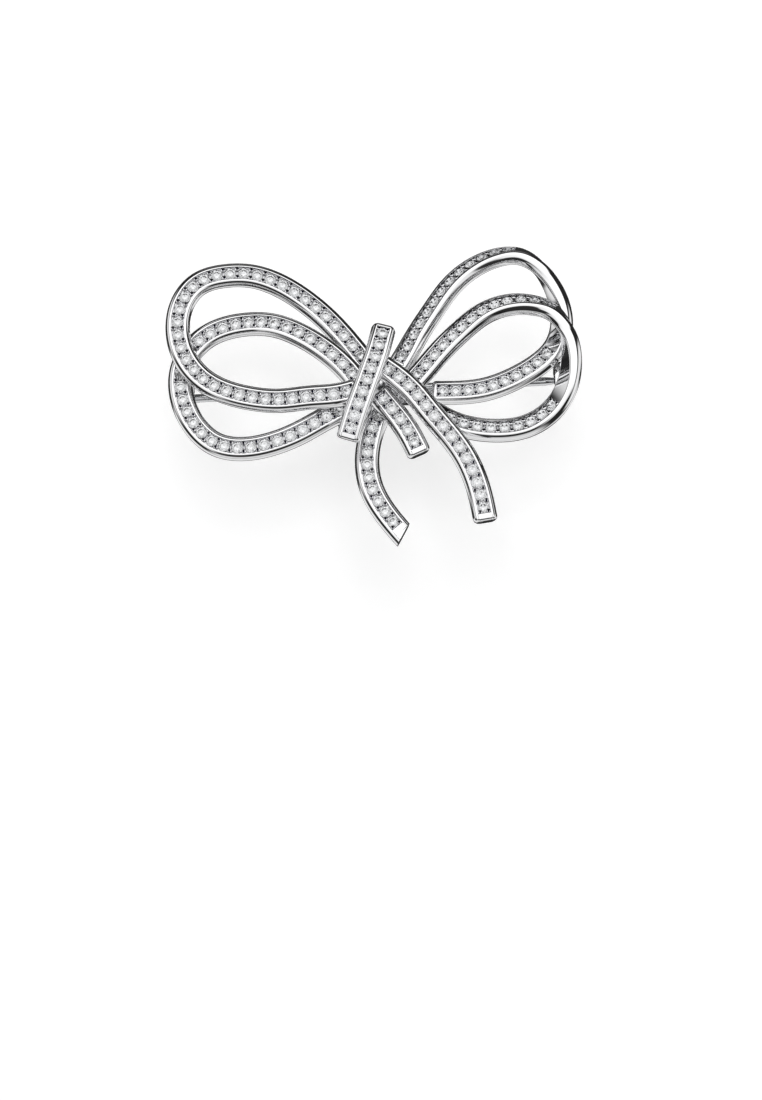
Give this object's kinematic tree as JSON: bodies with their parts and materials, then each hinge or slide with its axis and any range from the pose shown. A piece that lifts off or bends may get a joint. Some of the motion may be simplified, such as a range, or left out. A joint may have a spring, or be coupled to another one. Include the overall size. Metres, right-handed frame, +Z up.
{
  "type": "bow brooch",
  "caption": "Ribbon bow brooch in polished white metal, channel set with small round clear stones, with a hinged pin and a turning safety catch at the back.",
  "frame": {"origin": "centre of the whole brooch, pin works included", "axes": "+Z up as worn, -Y out of the face, +Y out of the back, where the pin opens, +X to the right as seen from the front"},
  "size_m": [0.0392, 0.0121, 0.0299],
  "materials": {
    "polished_silver": "mirror polished rhodium plate",
    "clear_stone": "faceted, clear",
    "pin_steel": "polished"
  },
  "bodies": {
    "brooch": {"left_upper_loop": "polished_silver", "left_lower_loop": "polished_silver", "right_upper_loop": "polished_silver", "right_lower_loop": "polished_silver", "knot_band": "polished_silver", "long_tail": "polished_silver", "short_tail": "polished_silver", "curved_tail": "polished_silver", "left_upper_stones": "clear_stone", "left_lower_stones": "clear_stone", "right_upper_stones": "clear_stone", "right_lower_stones": "clear_stone", "knot_stones": "clear_stone", "long_tail_stones": "clear_stone", "short_tail_stones": "clear_stone", "curved_tail_stones": "clear_stone", "back_plate": "polished_silver", "hinge_bracket": "polished_silver", "hinge_rivet": "polished_silver", "catch_body": "polished_silver"},
    "pin": {"pin_stem": "pin_steel"},
    "lock": {"catch_roller": "polished_silver"}
  },
  "joints": [
    {"name": "pin_hinge", "type": "hinge", "parent": "brooch", "child": "pin", "pos_m": [-0.018, 0.00421, 0.00056], "axis": [-0.0506, 0, 0.9987], "range_deg": [0, 80]},
    {"name": "catch_lock", "type": "hinge", "parent": "brooch", "child": "lock", "pos_m": [0.01795, 0.00421, 0.00238], "axis": [0.9987, 0, 0.0506], "range_deg": [0, 65]}
  ]
}
